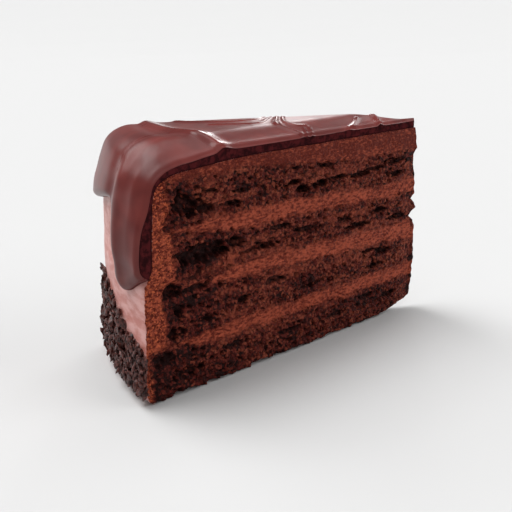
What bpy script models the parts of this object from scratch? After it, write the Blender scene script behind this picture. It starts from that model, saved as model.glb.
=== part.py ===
"""A slice of a round four-layer chocolate cake, standing on its base with the tip towards +X.

Four sponge layers lie one on another with three fillings between them. A frosting coat covers the
top and the rim, crumbs stick to the lower rim, and a poured glaze lies over the top and runs down
the rim in drips. Everything is in metres. A place in the cake is given by its distance r from the
round cake's axis, by its arc s along the rim from the near (-Y) cut face, and by its height z.
"""

import math
import random

import bmesh
import bpy
from mathutils import Matrix, Vector, noise

MM = 0.001

# The slice: one fifteenth of a cake baked in a 10 inch (254 mm) pan
SLICE_ANGLE = math.radians(24)
AXIS_X = 69.5 * MM
AXIS_Y = 0.55 * MM
NOSE = 1.5 * MM
RIM_RADIUS = 134 * MM
RIM_ARC = RIM_RADIUS * SLICE_ANGLE
RISE_REACH = 12 * MM
JOINT_GAP = 0.3 * MM

# Columns shared by the layers, so that faces which touch have their points one above another
COLUMN = 4 * MM
SPANS = 2

# Heights of the faces between layers, at the axis and at the rim
FILLING_FACES = (
    ((13.3 * MM, 15.8 * MM), (20.8 * MM, 19.6 * MM)),
    ((30.8 * MM, 40.0 * MM), (39.8 * MM, 42.2 * MM)),
    ((50.3 * MM, 58.3 * MM), (59.3 * MM, 59.6 * MM)),
)
FILLING_COLUMNS = (29, 26, 28)
FILLING_PINCH = 15 * MM
FILLING_EDGE = 0.35
SPONGE_TOP = (69.3 * MM, 75.6 * MM)
SPONGE_RADII = (
    # at the near cut, at the far cut
    (133.0 * MM, 127.6 * MM),
    (127.3 * MM, 125.4 * MM),
    (122.3 * MM, 121.6 * MM),
    (124.4 * MM, 123.2 * MM),
)
TIP_LIFT = 4 * MM
TIP_LIFT_REACH = 24 * MM
WAVE_HEIGHT = 1.1 * MM
WAVE_LENGTH = 24 * MM
WAVE_ACROSS = 0.25

# Relief of the cut faces
CRAG_DEPTH = 1.7 * MM
CRAG_LENGTH = 6.5 * MM
FINE_CRAG_LENGTH = 0.45 * CRAG_LENGTH
CRAG_MEAN = 0.45
CRAG_SHARE = 0.75
FINE_CRAG_SHARE = 0.5
SMEAR_DEPTH = 0.5 * MM
NOSE_CRAG = 2.2 * MM
CRACK_DEPTH = 3.2 * MM
CRACK_REACH = 82 * MM
CRACK_END = 4 * COLUMN
RELIEF_START = 3 * COLUMN
DEEPEST_RELIEF = 0.9
EVEN_ROWS = (0, 0.22, 0.42, 0.6, 0.8, 1)
CRACKED_ROWS = (0, 0.28, 0.48, 0.6, 0.72, 1)
CRACK_ROW = 3
FILLING_ROWS = (0, 0.5, 1)

# The frosting coat: its outer line over the top, round the shoulder and down the rim
COAT_TOP = 79.0 * MM
COAT_SAG = 2.3 * MM
COAT_SAG_START = 88 * MM
COAT_SAG_END = 118 * MM
COAT_RISE = 1.6 * MM
SHOULDER_RADIUS = 7 * MM
UPPER_RIM = 130 * MM
FAR_RIM = 128.8 * MM
RIM_STEP = 4 * MM
FAR_STEP = 0.8 * MM
RIM_STEP_TOP = 55 * MM
RIM_STEP_END = 34 * MM
FOOT_FLARE = 1.6 * MM
FOOT_TOP = 12 * MM
FOOT_RADIUS = 4 * MM
COAT_BASE = 2.0 * MM
LEDGE_GAP = 1.6 * MM
COAT_STEPS = 10
COAT_ROWS = 16
COAT_TOP_ROWS = 12
FOOT_ROWS = 3
SHOULDER_ROWS = (0.8, 0.2, 3)
SHARP_EDGE = math.radians(40)

# Crumbs on the lower rim
CRUMB_COUNT = 90
CRUMB_SEED = 4
CRUMB_SIZE = (1.1 * MM, 2.2 * MM)
CRUMB_THINNESS = 0.8
CRUMB_DENT = 0.3
CRUMB_TOP_NEAR = 16 * MM
CRUMB_TOP_FAR = 32 * MM
CRUMB_RISE = (8 * MM, 30 * MM)
CRUMB_FLOOR = 0.4 * MM
CRUMB_CROWDING = 0.8
CRUMB_TILT = 0.6
CRUMB_PROUD = 0.5 * MM

# The glaze
GLAZE_TOP = 3.8 * MM
GLAZE_RISE = 1.3 * MM
GLAZE_SHOULDER = 1.8 * MM
GLAZE_ON_RIM = 1.2 * MM
RIM_GAP = 0.5 * MM
GLAZE_COLUMNS_TOP = 16
GLAZE_COLUMNS_ARC = 5
GLAZE_COLUMNS_RIM = 12
GLAZE_SPANS = 18
APRON_START = 73 * MM
APRON_ENDS = (64.5 * MM, 59.5 * MM)
APRON_BULGE = 2.6 * MM
DRIP_START = 73 * MM
DRIP_MIDDLE = 9.5 * MM
DRIP_HALF_WIDTH = 15.5 * MM
DRIP_END = 37 * MM
DRIP_SKEW = 4 * MM
DRIP_BLUNTNESS = 1.3
DRIP_FLARE = 1.5
DRIP_BULGE = 5.6 * MM
DRIP_FULL = 53 * MM
GLAZE_EDGE = 1.1 * MM


def smooth(x):
    """Eases from 0 to 1 as x goes from 0 to 1."""
    x = min(max(x, 0.0), 1.0)
    return x * x * (3 - 2 * x)


def mix(low, high, share):
    return low + (high - low) * share


def rise_share(across):
    """0 at the near cut, easing to 1 on the higher far side."""
    return smooth(across / RISE_REACH)


def arc_at(angle):
    """Arc along the rim from the near cut of a place turned by angle from the middle line."""
    return (angle + SLICE_ANGLE / 2) * RIM_RADIUS


def in_cake(r, angle, z):
    """The point at distance r from the axis, turned by angle from the slice's middle line."""
    return Vector((AXIS_X - r * math.cos(angle), AXIS_Y + r * math.sin(angle), z))


# Layers


def face_height(ends, r, angle, seed):
    """Height of a face between layers, gently waved along the slice and less across it."""
    place = Vector((r, angle * RIM_RADIUS * WAVE_ACROSS, seed * 3 * WAVE_LENGTH)) / WAVE_LENGTH
    return mix(*ends, r / RIM_RADIUS) + WAVE_HEIGHT * noise.noise(place)


def filling_face(index, upper, r, angle):
    """Height of a filling's lower or upper face. Past the filling's end both meet in one face."""
    low, high = (
        face_height(ends, r, angle, 2 * index + n)
        for n, ends in enumerate(FILLING_FACES[index])
    )
    end = NOSE + FILLING_COLUMNS[index] * COLUMN
    if r < end + COLUMN / 2:
        open_share = mix(FILLING_EDGE, 1, smooth((end - r) / FILLING_PINCH))
    else:
        open_share = 0
    middle = (low + high) / 2
    return mix(middle, high if upper else low, open_share)


def sponge_top(r):
    """Height of the top sponge, under the frosting."""
    return mix(*SPONGE_TOP, r / RIM_RADIUS)


def sponge_radius(index, arc):
    """Radius of a sponge layer's rim."""
    return mix(*SPONGE_RADII[index], arc / RIM_ARC)


def cut_relief(place, depth, seed):
    """How far a cut face lies back at this place: crumbs stand out and pits go in."""
    crag = noise.noise(place / CRAG_LENGTH + Vector((0, 0, 7 * seed)))
    fine = noise.noise(place / FINE_CRAG_LENGTH + Vector((11 * seed, 0, 0)))
    return depth * (CRAG_MEAN + CRAG_SHARE * crag + FINE_CRAG_SHARE * fine)


def unit_block(columns, spans, rows):
    """A cube from (0, 0, 0) to (1, 1, 1), cut into columns along X, spans along Y, rows along Z."""
    block = bmesh.new()
    bmesh.ops.create_cube(block, size=1, matrix=Matrix.Translation((0.5, 0.5, 0.5)))
    for axis, pieces in enumerate((columns, spans, rows)):
        along = [
            edge
            for edge in block.edges
            if abs(edge.verts[0].co[axis] - edge.verts[1].co[axis]) > 0.5
        ]
        if pieces > 1:
            bmesh.ops.subdivide_edges(block, edges=along, cuts=pieces - 1, use_grid_fill=True)
    return block


def layer(name, columns, outer, low, high, rows, depth, seed, crack_row=None):
    """A layer of the slice between two faces, with rough cut faces."""
    block = unit_block(columns, SPANS, len(rows) - 1)
    for vert in block.verts:
        column = round(vert.co.x * columns)
        row = round(vert.co.z * (len(rows) - 1))
        side = 2 * vert.co.y - 1
        angle = side * SLICE_ANGLE / 2
        r = outer(arc_at(angle)) if column == columns else NOSE + column * COLUMN
        middle = mix(low(r, angle), high(r, angle), rows[row])
        if abs(side) > 0.9:
            back = cut_relief(in_cake(r, angle, middle), depth, seed)
            if row == crack_row and r < CRACK_REACH:
                back += CRACK_DEPTH * smooth((CRACK_REACH - r) / CRACK_END)
            back *= smooth((r - NOSE) / RELIEF_START)
            deepest = DEEPEST_RELIEF * math.sin(SLICE_ANGLE / 2)
            angle -= side * math.asin(min(back / r, deepest))
        if column == 0:
            r += NOSE_CRAG * noise.noise(Vector((0, seed, middle / CRAG_LENGTH)))
        vert.co = in_cake(r, angle, mix(low(r, angle), high(r, angle), rows[row]))
    return solid(name, block)


def sponge(index):
    """One sponge layer, counted from the base."""
    columns = math.ceil((min(SPONGE_RADII[index]) - NOSE) / COLUMN)

    def outer(arc):
        return sponge_radius(index, arc)

    def low(r, angle):
        if index == 0:
            return TIP_LIFT * max(0, 1 - r / TIP_LIFT_REACH) ** 2
        return filling_face(index - 1, True, r, angle) + JOINT_GAP / 2

    def high(r, angle):
        if index == len(FILLING_FACES):
            return sponge_top(r) - JOINT_GAP / 2
        return filling_face(index, False, r, angle) - JOINT_GAP / 2

    cracked = index == len(FILLING_FACES)
    rows = CRACKED_ROWS if cracked else EVEN_ROWS
    crack_row = CRACK_ROW if cracked else None
    name = f"sponge_{index + 1}"
    return layer(name, columns, outer, low, high, rows, CRAG_DEPTH, index + 1, crack_row)


def filling(index):
    """One filling, counted from the base."""
    columns = FILLING_COLUMNS[index]

    def low(r, angle):
        return filling_face(index, False, r, angle) + JOINT_GAP / 2

    def high(r, angle):
        return filling_face(index, True, r, angle) - JOINT_GAP / 2

    def outer(_arc):
        return NOSE + columns * COLUMN

    name = f"filling_{index + 1}"
    return layer(name, columns, outer, low, high, FILLING_ROWS, SMEAR_DEPTH, index + 11)


# Frosting


def coat_top(r, arc):
    """Height of the frosting's top, which sags at the rim and is higher on the far side."""
    sag = COAT_SAG * smooth((r - COAT_SAG_START) / (COAT_SAG_END - COAT_SAG_START))
    return COAT_TOP - sag + COAT_RISE * rise_share(arc * r / RIM_RADIUS)


def coat_rim(z, arc):
    """Radius of the frosting's rim, thinner above and flared at the foot."""
    far = arc / RIM_ARC
    step = mix(RIM_STEP, FAR_STEP, far) * smooth((RIM_STEP_TOP - z) / (RIM_STEP_TOP - RIM_STEP_END))
    return mix(UPPER_RIM, FAR_RIM, far) + step + FOOT_FLARE * smooth((FOOT_TOP - z) / FOOT_TOP)


def shoulder_point(turn, arc):
    """Point (r, z) on the shoulder's quarter circle: turn 0 is the top, 1 is the rim."""
    angle = turn * math.pi / 2
    rim = coat_rim(COAT_TOP, arc)
    top = coat_top(rim - SHOULDER_RADIUS, arc)
    return rim - SHOULDER_RADIUS * (1 - math.sin(angle)), top - SHOULDER_RADIUS * (1 - math.cos(angle))


def steps(start, end, count):
    """count + 1 evenly spaced values."""
    return [mix(start, end, n / count) for n in range(count + 1)]


def coat_outline(arc):
    """The frosting's section as (r, z): out along the underside, down inside, back up outside."""
    walls = [sponge_radius(index, arc) + JOINT_GAP for index in range(len(SPONGE_RADII))]
    outline = [(r, sponge_top(r) + JOINT_GAP / 2) for r in steps(NOSE, walls[-1], COAT_TOP_ROWS)]
    for index in range(len(walls) - 1, 0, -1):
        joint = sum(ends[1] for ends in FILLING_FACES[index - 1]) / 2
        ledge = joint + (LEDGE_GAP if walls[index - 1] > walls[index] else -LEDGE_GAP)
        outline += [(walls[index], ledge), (walls[index - 1], ledge)]
    outline += [(walls[0], FOOT_RADIUS), (walls[0], 0)]
    foot = coat_rim(FOOT_RADIUS, arc)
    for turn in steps(math.pi / 8, math.pi / 2, FOOT_ROWS):
        outline.append((foot - COAT_BASE * (1 - math.sin(turn)), FOOT_RADIUS * (1 - math.cos(turn))))
    top = shoulder_point(1, arc)[1]
    outline += [(coat_rim(z, arc), z) for z in steps(FOOT_TOP, top, COAT_ROWS)]
    outline += [shoulder_point(turn, arc) for turn in steps(*SHOULDER_ROWS)]
    inner = shoulder_point(0, arc)[0]
    outline += [(r, coat_top(r, arc)) for r in steps(inner, NOSE, COAT_TOP_ROWS)]
    return outline


def crumb(number, random_source):
    """One flake of chocolate crumb, half sunk in the rim's frosting."""
    low, high = CRUMB_SIZE
    arc = random_source.uniform(high, RIM_ARC - high)
    rise = smooth((arc - CRUMB_RISE[0]) / (CRUMB_RISE[1] - CRUMB_RISE[0]))
    top = min(mix(CRUMB_TOP_NEAR, CRUMB_TOP_FAR, rise), glaze_end(arc) - 2 * high)
    z = high + CRUMB_FLOOR + (top - high) * random_source.random() ** CRUMB_CROWDING
    mesh = bpy.data.meshes.new(f"crumb_{number}")
    flake = bmesh.new()
    bmesh.ops.create_icosphere(flake, subdivisions=1, radius=1)
    length = random_source.uniform(low, high)
    width = random_source.uniform(low, high)
    size = Vector((length, width, low * CRUMB_THINNESS))
    turn = Matrix.Rotation(random_source.uniform(0, math.tau), 3, "Z")
    turn = Matrix.Rotation(random_source.uniform(-CRUMB_TILT, CRUMB_TILT), 3, "Y") @ turn
    for vert in flake.verts:
        spread = 1 + CRUMB_DENT * noise.noise(vert.co * 2 + Vector((number, 0, 0)))
        vert.co = turn @ (vert.co * size) * spread
    flake.to_mesh(mesh)
    flake.free()
    body = bpy.data.objects.new(mesh.name, mesh)
    angle = arc / RIM_RADIUS - SLICE_ANGLE / 2
    body.location = in_cake(coat_rim(z, arc) + CRUMB_PROUD, angle, z)
    body.rotation_euler = (0, math.pi / 2, -angle)
    return body


def frosting():
    """The frosting coat over the top and the rim, with the crumbs fused to it."""
    sections = []
    for arc in steps(0, RIM_ARC, COAT_STEPS):
        angle = arc / RIM_RADIUS - SLICE_ANGLE / 2
        sections.append([in_cake(r, angle, z) for r, z in coat_outline(arc)])
    body = solid("frosting", loft(sections))
    crumbs = bpy.data.collections.new("crumbs")
    bpy.context.scene.collection.children.link(crumbs)
    random_source = random.Random(CRUMB_SEED)
    for number in range(CRUMB_COUNT):
        crumbs.objects.link(crumb(number, random_source))
    join(body, crumbs)
    return body


# Glaze


def drip_width(arc):
    """The drip's cross-section: 1 at its middle, 0 beyond its sides."""
    across = (arc - DRIP_MIDDLE) / DRIP_HALF_WIDTH
    return math.sqrt(max(0, 1 - across**2))


def glaze_end(arc):
    """Height of the glaze's lower edge: a drip beside the near cut, an apron on the far side."""
    apron = mix(*APRON_ENDS, smooth(arc / RIM_ARC))
    drip = DRIP_END + DRIP_SKEW * max(0, 1 - arc / DRIP_MIDDLE)
    return mix(apron, drip, min(1, DRIP_BLUNTNESS * drip_width(arc)) ** DRIP_FLARE)


def glaze_base(column, arc):
    """Point (r, z) on the frosting under a column of the glaze, and the way out from it."""
    if column <= GLAZE_COLUMNS_TOP:
        r = mix(NOSE, shoulder_point(0, arc)[0], column / GLAZE_COLUMNS_TOP)
        return r, coat_top(r, arc), Vector((0, 1))
    turn = (column - GLAZE_COLUMNS_TOP) / GLAZE_COLUMNS_ARC
    if turn <= 1:
        out = Vector((math.sin(turn * math.pi / 2), math.cos(turn * math.pi / 2)))
        return *shoulder_point(turn, arc), out
    down = (column - GLAZE_COLUMNS_TOP - GLAZE_COLUMNS_ARC) / GLAZE_COLUMNS_RIM
    z = mix(shoulder_point(1, arc)[1], glaze_end(arc), down)
    return coat_rim(z, arc), z, Vector((1, 0))


def glaze_thickness(r, z, column, arc):
    """Thickness of the glaze: even on top, thin on the shoulder, fuller in drip and apron."""
    if column <= GLAZE_COLUMNS_TOP:
        top = GLAZE_TOP + GLAZE_RISE * rise_share(arc * r / RIM_RADIUS)
        return mix(top, GLAZE_SHOULDER, smooth((r - COAT_SAG_START) / (UPPER_RIM - COAT_SAG_START)))
    drip = drip_width(arc) * smooth((DRIP_START - z) / (DRIP_START - DRIP_FULL))
    apron = smooth(arc / DRIP_MIDDLE) * smooth((APRON_START - z) / (APRON_START - APRON_ENDS[0]))
    return GLAZE_ON_RIM + max(DRIP_BULGE * drip, APRON_BULGE * apron)


def glaze():
    """The glaze poured over the top, with the drip and the apron that run down the rim."""
    columns = GLAZE_COLUMNS_TOP + GLAZE_COLUMNS_ARC + GLAZE_COLUMNS_RIM
    block = unit_block(columns, GLAZE_SPANS, 1)
    for vert in block.verts:
        column = round(vert.co.x * columns)
        arc = vert.co.y * RIM_ARC
        r, z, out = glaze_base(column, arc)
        thick = GLAZE_EDGE if column == columns else glaze_thickness(r, z, column, arc)
        gap = mix(JOINT_GAP, RIM_GAP, smooth((column - GLAZE_COLUMNS_TOP) / GLAZE_COLUMNS_ARC))
        offset = gap + thick * vert.co.z
        angle = arc / RIM_RADIUS - SLICE_ANGLE / 2
        vert.co = in_cake(r + out.x * offset, angle, z + out.y * offset)
    return solid("glaze", block)


# Objects


def loft(sections):
    """A closed bmesh through a row of sections that have the same number of points."""
    shape = bmesh.new()
    rings = [[shape.verts.new(point) for point in section] for section in sections]
    for ring, following in zip(rings, rings[1:]):
        for n in range(len(ring)):
            shape.faces.new((ring[n - 1], ring[n], following[n], following[n - 1]))
    shape.faces.new(rings[0])
    shape.faces.new(rings[-1])
    return shape


def solid(name, shape):
    """A named object in the cake's collection from a closed bmesh."""
    bmesh.ops.recalc_face_normals(shape, faces=shape.faces)
    if shape.calc_volume(signed=True) < 0:
        bmesh.ops.reverse_faces(shape, faces=shape.faces)
    mesh = bpy.data.meshes.new(name)
    shape.to_mesh(mesh)
    shape.free()
    body = bpy.data.objects.new(name, mesh)
    bpy.data.collections["chocolate_cake_slice"].objects.link(body)
    return body


def drop_scraps(mesh):
    """Keeps only the mesh's largest connected piece, which fills sealed hollows too."""
    shape = bmesh.new()
    shape.from_mesh(mesh)
    left = set(shape.verts)
    pieces = []
    while left:
        piece = set()
        edge = [left.pop()]
        while edge:
            vert = edge.pop()
            piece.add(vert)
            near = {link.other_vert(vert) for link in vert.link_edges} & left
            left -= near
            edge += near
        pieces.append(piece)
    pieces.sort(key=len)
    scraps = [vert for piece in pieces[:-1] for vert in piece]
    bmesh.ops.delete(shape, geom=scraps, context="VERTS")
    shape.to_mesh(mesh)
    shape.free()


def join(body, pieces):
    """Fuses a collection's objects to the body with one Boolean union, and removes them."""
    union = body.modifiers.new("union", "BOOLEAN")
    union.operation = "UNION"
    union.operand_type = "COLLECTION"
    union.collection = pieces
    union.solver = "EXACT"
    graph = bpy.context.evaluated_depsgraph_get()
    fused = bpy.data.meshes.new_from_object(body.evaluated_get(graph))
    body.modifiers.remove(union)
    drop_scraps(fused)
    body.data = fused
    for piece in list(pieces.objects):
        bpy.data.objects.remove(piece)
    bpy.data.collections.remove(pieces)


def material(name, colour, roughness):
    """A food surface."""
    finish = bpy.data.materials.new(name)
    finish.use_nodes = True
    shader = finish.node_tree.nodes["Principled BSDF"]
    shader.inputs["Base Color"].default_value = (*colour, 1)
    shader.inputs["Roughness"].default_value = roughness
    shader.inputs["Metallic"].default_value = 0
    return finish


def main():
    for old in list(bpy.data.objects):
        bpy.data.objects.remove(old)
    cake = bpy.data.collections.new("chocolate_cake_slice")
    bpy.context.scene.collection.children.link(cake)
    crumb_brown = material("sponge", (0.030, 0.009, 0.006), 0.9)
    cream_brown = material("filling", (0.150, 0.036, 0.016), 0.6)
    coat_brown = material("frosting", (0.170, 0.040, 0.020), 0.5)
    gloss_brown = material("glaze", (0.075, 0.018, 0.014), 0.2)
    for index in range(len(SPONGE_RADII)):
        sponge(index).data.materials.append(crumb_brown)
    for index in range(len(FILLING_FACES)):
        filling(index).data.materials.append(cream_brown)
    coat = frosting()
    coat.data.materials.clear()
    coat.data.materials.append(coat_brown)
    top = glaze()
    top.data.materials.append(gloss_brown)
    for smooth_piece in (coat, top):
        smooth_piece.data.shade_smooth()
        smooth_piece.data.set_sharp_from_angle(angle=SHARP_EDGE)


main()
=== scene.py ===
"""The looks of a slice of layered chocolate cake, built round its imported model.

Places in the cake are given in millimetres: r is the distance from the round cake's axis, turn goes
from 0 at the near cut face to 1 at the far one, and z is the height over the base. The tip points
towards +X and the near cut face towards -Y. Meshes are made metres when they are finished.
"""

import logging
import math
import random
from dataclasses import dataclass
from enum import Enum

import bmesh
import bpy
import numpy as np
from bpy.types import Material, Node, NodeTree, Object
from mathutils import Euler, Matrix, Vector, noise


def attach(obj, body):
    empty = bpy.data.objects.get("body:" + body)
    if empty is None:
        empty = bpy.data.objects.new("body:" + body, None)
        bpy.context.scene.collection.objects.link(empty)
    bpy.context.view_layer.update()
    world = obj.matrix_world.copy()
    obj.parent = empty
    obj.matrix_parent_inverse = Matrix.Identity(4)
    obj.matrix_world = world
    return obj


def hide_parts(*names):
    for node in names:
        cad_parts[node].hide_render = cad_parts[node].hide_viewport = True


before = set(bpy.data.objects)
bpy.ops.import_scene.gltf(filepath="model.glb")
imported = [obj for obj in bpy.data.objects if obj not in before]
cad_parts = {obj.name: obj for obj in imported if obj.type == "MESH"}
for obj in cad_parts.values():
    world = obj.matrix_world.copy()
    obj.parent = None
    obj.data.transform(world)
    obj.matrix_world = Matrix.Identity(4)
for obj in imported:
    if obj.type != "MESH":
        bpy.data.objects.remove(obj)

logging.basicConfig(level=logging.INFO, format="%(message)s")
log = logging.getLogger("cake")

MM = 0.001
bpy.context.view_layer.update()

# A point this near to an end of its share of the way lies on that end
AT_END = 1e-6
# How far apart the patterns of two seeds lie, in features of the noise
SEED_STEP = 17.3
# Radius of a pit as a share of its cell, and the step between the draws of two cells
PIT_RADIUS = 0.55
CELL_STEP = 7.7


class Side(Enum):
    """The two knife-cut faces of the slice."""

    NEAR = 0
    FAR = 1


def smooth(x: np.ndarray | float) -> np.ndarray:
    """Eases from 0 to 1 as x goes from 0 to 1.

    Args:
        x: one value or an array.

    Returns:
        The eased values.
    """
    x = np.clip(x, 0.0, 1.0)
    return x * x * (3 - 2 * x)


def mix(low: np.ndarray | float, high: np.ndarray | float, share: np.ndarray | float) -> np.ndarray:
    """Goes from low to high as share goes from 0 to 1."""
    return low + (high - low) * share


def bell(x: np.ndarray, middle: float, width: float) -> np.ndarray:
    """Rises to 1 at the middle and is nearly 0 again two widths away."""
    return np.exp(-(((x - middle) / width) ** 2))


def curve(points: tuple, at: np.ndarray) -> np.ndarray:
    """Reads a smooth curve through points.

    Args:
        points: rows of one or more coordinates, one row for each whole number of at.
        at: where to read, from 0 to the last row's number.

    Returns:
        One row of coordinates for each value of at.
    """
    rows = np.asarray(points, float)
    padded = np.concatenate([2 * rows[:1] - rows[1:2], rows, 2 * rows[-1:] - rows[-2:-1]])
    at = np.clip(np.asarray(at, float), 0, len(rows) - 1)
    start = np.minimum(at.astype(int), len(rows) - 2)
    t = (at - start)[:, None]
    a, b, c, d = (padded[start + n] for n in range(4))
    return 0.5 * (2 * b + (c - a) * t + (2 * a - 5 * b + 4 * c - d) * t**2 + (3 * (b - c) + d - a) * t**3)


def grain(points: np.ndarray, size: float, stretch: tuple = (1, 1, 1), seed: float = 0) -> np.ndarray:
    """Smooth noise from about -1 to 1.

    Args:
        points: rows of three coordinates in mm.
        size: size of the noise's features in mm.
        stretch: how much longer the features are along each coordinate.
        seed: another number gives another pattern.

    Returns:
        One value for each row.
    """
    scaled = points / (size * np.asarray(stretch)) + SEED_STEP * seed
    return np.fromiter((noise.noise(p) for p in scaled.tolist()), float, len(scaled))


def crags(points: np.ndarray, size: float, stretch: tuple = (1, 1, 1), seed: float = 0) -> np.ndarray:
    """Noise with folds and sharp creases, from 0 to about 1.5.

    Args:
        points: rows of three coordinates in mm.
        size: size of the largest features in mm.
        stretch: how much longer the features are along each coordinate.
        seed: another number gives another pattern.

    Returns:
        One value for each row.
    """
    scaled = points / (size * np.asarray(stretch)) + SEED_STEP * seed
    return np.fromiter((noise.turbulence(p, 3, True) for p in scaled.tolist()), float, len(scaled))


def pores(
    points: np.ndarray, size: float, share: float, stretch: tuple = (1, 1, 1), seed: float = 0
) -> np.ndarray:
    """Round pits, one in some of the cells of an uneven foam.

    Args:
        points: rows of three coordinates in mm.
        size: distance between the pits' centres in mm.
        share: how many of the cells are pits, from 0 to 1.
        stretch: how much longer the pits are along each coordinate.
        seed: another number gives another pattern.

    Returns:
        How deep each place lies in a pit, from 0 to 1.
    """
    scaled = points / (size * np.asarray(stretch)) + SEED_STEP * seed
    depths = np.zeros(len(scaled))
    for n, p in enumerate(scaled.tolist()):
        distances, centres = noise.voronoi(p)
        if noise.cell(centres[0] * CELL_STEP) < share:
            depths[n] = max(0.0, 1 - distances[0] / PIT_RADIUS)
    return smooth(depths)


@dataclass(frozen=True)
class Wedge:
    """Where the slice lies: one fifteenth of a round cake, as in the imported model."""

    angle: float = math.radians(24)
    axis_x: float = 69.5
    axis_y: float = 0.55
    rim: float = 134.0

    @property
    def arc(self) -> float:
        """Length of the rim from the near cut to the far one."""
        return self.rim * self.angle

    def place(self, r: np.ndarray, turn: np.ndarray, z: np.ndarray) -> np.ndarray:
        """Turns cake places into rows of x, y and z in mm."""
        angle = (turn - 0.5) * self.angle
        return np.stack([self.axis_x - r * np.cos(angle), self.axis_y + r * np.sin(angle), z + 0 * r], -1)

    def outward(self, side: Side) -> np.ndarray:
        """The direction in which a cut face looks."""
        sign = -1 if side is Side.NEAR else 1
        return np.array([math.sin(self.angle / 2), sign * math.cos(self.angle / 2), 0])


WEDGE = Wedge()


@dataclass(frozen=True)
class Cavity:
    """A hole torn into the near cut face, an ellipse in the face's own r and z."""

    r: float
    z: float
    half_r: float
    half_z: float
    depth: float


@dataclass(frozen=True)
class Layers:
    """The heights of the faces between layers, and how far each sponge reaches to the rim.

    Each row of joints is one face, from the lowest, as (r, z) along the near cut. The two rows of rims
    are the sponges' outer edge at the near and the far cut, as (z, r). The joints are wavy and ragged
    by a few tenths of a mm, and from even_from they even out over even_over mm towards the rim.
    """

    joints: tuple = (
        ((0, 14.6), (35, 14.7), (60, 15.3), (100, 15.4), (112, 15.8), (121, 18.6), (134, 18.8)),
        ((0, 20.6), (60, 20.4), (100, 20.2), (110, 19.8), (118, 19.0), (121, 18.8), (134, 19.0)),
        ((0, 31.2), (10, 32.6), (30, 33.2), (55, 35.0), (75, 35.6), (98, 36.2), (108, 37.6), (122, 40.8),
         (130, 41.0)),
        ((0, 39.0), (20, 40.0), (50, 40.6), (80, 41.2), (98, 40.8), (108, 38.6), (115, 39.6), (122, 41.2),
         (130, 41.3)),
        ((0, 52.0), (30, 52.4), (60, 53.4), (95, 53.6), (106, 55.6), (116, 57.4), (126, 57.8)),
        ((0, 58.2), (15, 57.8), (25, 57.2), (45, 59.0), (65, 59.6), (100, 60.0), (112, 59.6), (118, 58.2),
         (126, 58.2)),
        ((0, 69.4), (10, 70.4), (36, 70.0), (46, 71.4), (56, 71.2), (68, 73.2), (90, 74.8), (112, 75.0),
         (125, 74.6)),
    )
    rims: tuple = (
        ((0, 133.2), (15, 133.4), (18.4, 133.0), (19.2, 127.6), (23, 126.4), (30, 127.0), (35, 127.8),
         (40.4, 128.2), (41.6, 122.4), (48, 122.0), (57, 122.4), (58.2, 126.4), (59.6, 126.8),
         (60.6, 124.6), (76, 124.2)),
        ((0, 127.6), (18.4, 127.4), (19.2, 125.6), (40.4, 125.4), (41.6, 121.8), (57, 121.6),
         (60.6, 123.2), (76, 122.8)),
    )
    wave: float = 0.8
    ragged: float = 0.55
    even_from: float = 122.0
    even_over: float = 20.0
    rim_ragged: float = 0.6
    nose_ragged: float = 0.5

    def joint(self, index: int, r: np.ndarray, turn: np.ndarray) -> np.ndarray:
        """Reads the face between two layers, which is uneven inside and evens out towards the rim.

        Args:
            index: the number of the layer under the face, counting fillings as layers.
            r: distances from the axis.
            turn: shares of the way from the near cut to the far one.

        Returns:
            The face's heights.
        """
        rows = np.array(self.joints[index])
        height = np.interp(r, rows[:, 0], rows[:, 1])
        place = np.stack([r, 40 * turn, 0 * r + 31 * (index // 2)], -1)
        loose = np.clip((self.even_from - r) / self.even_over, 0.2, 1)
        height += turn * loose * self.wave * 2 * grain(place, 26, seed=3)
        height += loose * self.ragged * grain(place + [0, 0, 9 * index], 5.5, seed=5)
        return height + loose * 0.7 * self.ragged * grain(place + [0, 0, 9 * index], 1.9, seed=6)

    def rim(self, z: np.ndarray, turn: np.ndarray) -> np.ndarray:
        """Reads where the sponge meets the frosting's wall.

        Args:
            z: heights.
            turn: shares of the way from the near cut to the far one.

        Returns:
            The distances from the axis.
        """
        near, far = (np.interp(z, *np.array(rows).T) for rows in self.rims)
        edge = np.stack([0 * z, 30 * turn, z], -1)
        return mix(near, far, turn) + self.rim_ragged * grain(edge, 2.6, seed=8)

    def nose(self, z: np.ndarray) -> np.ndarray:
        """Reads the blunt tip, where crumbs stick out and notches go in.

        Args:
            z: heights.

        Returns:
            The distances from the axis.
        """
        rows = (
            (0, 3.0), (3, 3.0), (5, -0.6), (10, -1.4), (20, -1.8), (30, -1.8), (37, -1.4), (39.5, -0.6),
            (41.5, 2.0), (43, 0.8), (45, -1.8), (47, -0.8), (49, 1.4), (51, -0.6), (55, -0.6), (62, 0.4),
            (66, 1.0), (68, 1.0), (70.5, -0.9), (72, -0.4), (77, 0.2), (80, 1.2), (90, 1.8),
        )
        edge = np.stack([0 * z, 0 * z, z], -1)
        return np.interp(z, *np.array(rows).T) + self.nose_ragged * grain(edge, 2.2, seed=9)


LAYERS = Layers()


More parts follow.
